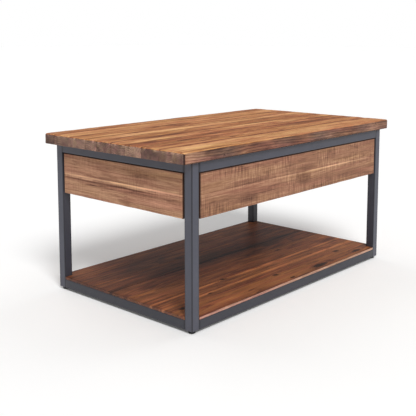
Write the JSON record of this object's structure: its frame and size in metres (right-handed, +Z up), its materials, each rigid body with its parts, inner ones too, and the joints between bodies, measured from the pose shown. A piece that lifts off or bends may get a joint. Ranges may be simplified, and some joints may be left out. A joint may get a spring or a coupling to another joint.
{
  "type": "lift top coffee table",
  "caption": "Rectangular coffee table with a butcher block top that lifts level toward the rear on linked arms, over a storage box, in a square tube frame with an open shelf.",
  "frame": {"origin": "centre of the footprint, on the floor", "axes": "+X along the length, +Y from the front long side to the rear long side, +Z up"},
  "size_m": [1.067, 0.606, 0.508],
  "materials": {
    "frame_steel": "satin dark grey powder coat",
    "foot_plastic": "matt black",
    "top_wood": "oiled butcher block with worn, sawn edges",
    "shelf_wood": "dark oiled boards",
    "apron_wood": "rough sawn, pinkish brown",
    "box_wood": "plain planed softwood and plywood",
    "zinc_steel": "bright zinc plate",
    "bracket_steel": "satin black paint",
    "buffer_rubber": "matt black"
  },
  "bodies": {
    "base": {"leg_front_left": "frame_steel", "leg_front_right": "frame_steel", "leg_rear_left": "frame_steel", "leg_rear_right": "frame_steel", "top_rail_front": "frame_steel", "top_rail_rear": "frame_steel", "top_rail_left": "frame_steel", "top_rail_right": "frame_steel", "bottom_rail_front": "frame_steel", "bottom_rail_rear": "frame_steel", "bottom_rail_left": "frame_steel", "bottom_rail_right": "frame_steel", "box_tabs": "frame_steel", "levelling_feet": "foot_plastic", "shelf_board_1": "shelf_wood", "shelf_board_2": "shelf_wood", "shelf_board_3": "shelf_wood", "shelf_board_4": "shelf_wood", "shelf_board_5": "shelf_wood", "shelf_board_6": "shelf_wood", "shelf_board_7": "shelf_wood", "front_apron_upper": "apron_wood", "front_apron_lower": "apron_wood", "rear_apron_upper": "apron_wood", "rear_apron_lower": "apron_wood", "left_apron_upper": "apron_wood", "left_apron_lower": "apron_wood", "right_apron_upper": "apron_wood", "right_apron_lower": "apron_wood", "box_bottom": "box_wood", "bottom_cleats": "box_wood", "hinge_boards": "box_wood", "box_screws": "zinc_steel", "base_pivot_pins": "zinc_steel", "spring_anchor_pins": "zinc_steel", "base_bracket_screws": "zinc_steel", "base_bracket_left": "bracket_steel", "base_bracket_right": "bracket_steel", "stop_buffers": "buffer_rubber", "lid_bumpers": "buffer_rubber"},
    "drive_arms": {"drive_arm_left": "bracket_steel", "drive_arm_right": "bracket_steel", "sync_bar": "bracket_steel"},
    "guide_arm_left": {"guide_arm_left": "bracket_steel"},
    "guide_arm_right": {"guide_arm_right": "bracket_steel"},
    "spring_left": {"spring_left": "zinc_steel"},
    "spring_right": {"spring_right": "zinc_steel"},
    "top": {"top_stave_1": "top_wood", "top_stave_2": "top_wood", "top_stave_3": "top_wood", "top_stave_4": "top_wood", "top_stave_5": "top_wood", "top_stave_6": "top_wood", "top_stave_7": "top_wood", "top_stave_8": "top_wood", "top_stave_9": "top_wood", "top_bracket_left": "bracket_steel", "top_bracket_right": "bracket_steel", "top_pivot_pins": "zinc_steel", "top_bracket_screws": "zinc_steel"}
  },
  "joints": [
    {"name": "lift", "type": "hinge", "parent": "base", "child": "drive_arms", "pos_m": [0, 0.0915, 0.4], "axis": [-1, 0, 0], "range_deg": [0, 93]},
    {"name": "top_level", "type": "hinge", "parent": "drive_arms", "child": "top", "pos_m": [0, -0.08283, 0.41525], "axis": [-1, 0, 0], "range_deg": [-93, 0]},
    {"name": "guide_turn_left", "type": "hinge", "parent": "base", "child": "guide_arm_left", "pos_m": [0, 0.13746, 0.43857], "axis": [-1, 0, 0], "range_deg": [0, 93]},
    {"name": "guide_turn_right", "type": "hinge", "parent": "base", "child": "guide_arm_right", "pos_m": [0, 0.13746, 0.43857], "axis": [-1, 0, 0], "range_deg": [0, 93]},
    {"name": "spring_turn_left", "type": "hinge", "parent": "base", "child": "spring_left", "pos_m": [0, -0.0985, 0.355], "axis": [-1, 0, 0], "range_deg": [-6, 0], "deforming": ["spring_left"]},
    {"name": "spring_turn_right", "type": "hinge", "parent": "base", "child": "spring_right", "pos_m": [0, -0.0985, 0.355], "axis": [-1, 0, 0], "range_deg": [-6, 0], "deforming": ["spring_right"]}
  ],
  "couplings": [
    {"joint": "top_level", "follows": "lift", "ratio": -1},
    {"joint": "guide_turn_left", "follows": "lift", "ratio": 1},
    {"joint": "guide_turn_right", "follows": "lift", "ratio": 1},
    {"joint": "spring_turn_left", "follows": "lift", "ratio": -0.06206},
    {"joint": "spring_turn_right", "follows": "lift", "ratio": -0.06206}
  ]
}
